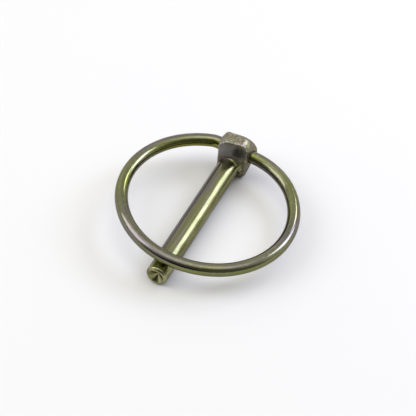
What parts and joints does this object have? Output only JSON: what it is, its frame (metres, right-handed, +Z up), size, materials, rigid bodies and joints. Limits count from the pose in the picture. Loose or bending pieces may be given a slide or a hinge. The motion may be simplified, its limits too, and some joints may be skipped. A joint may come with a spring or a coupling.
{
  "type": "linch pin",
  "caption": "Linch pin: a short forged pin with a cross-drilled head and a spring wire ring that swings over the nose to keep the pin in its hole.",
  "frame": {"origin": "middle of the bounding box's bottom, on the surface that the pin lies on with its ring closed", "axes": "+X across the pin, +Y towards the head and away from the nose, +Z up"},
  "size_m": [0.0493, 0.0513, 0.0134],
  "materials": {
    "pin_plating": "yellow zinc plated forged steel",
    "ring_plating": "yellow zinc plated spring wire"
  },
  "bodies": {
    "pin": {"pin": "pin_plating"},
    "ring": {"ring": "ring_plating"}
  },
  "joints": [
    {"name": "ring_swing", "type": "hinge", "parent": "pin", "child": "ring", "pos_m": [-0.0019, 0.02202, 0.00706], "axis": [-0.9976, -0.0016, 0.0697], "range_deg": [0, 347.5]}
  ]
}
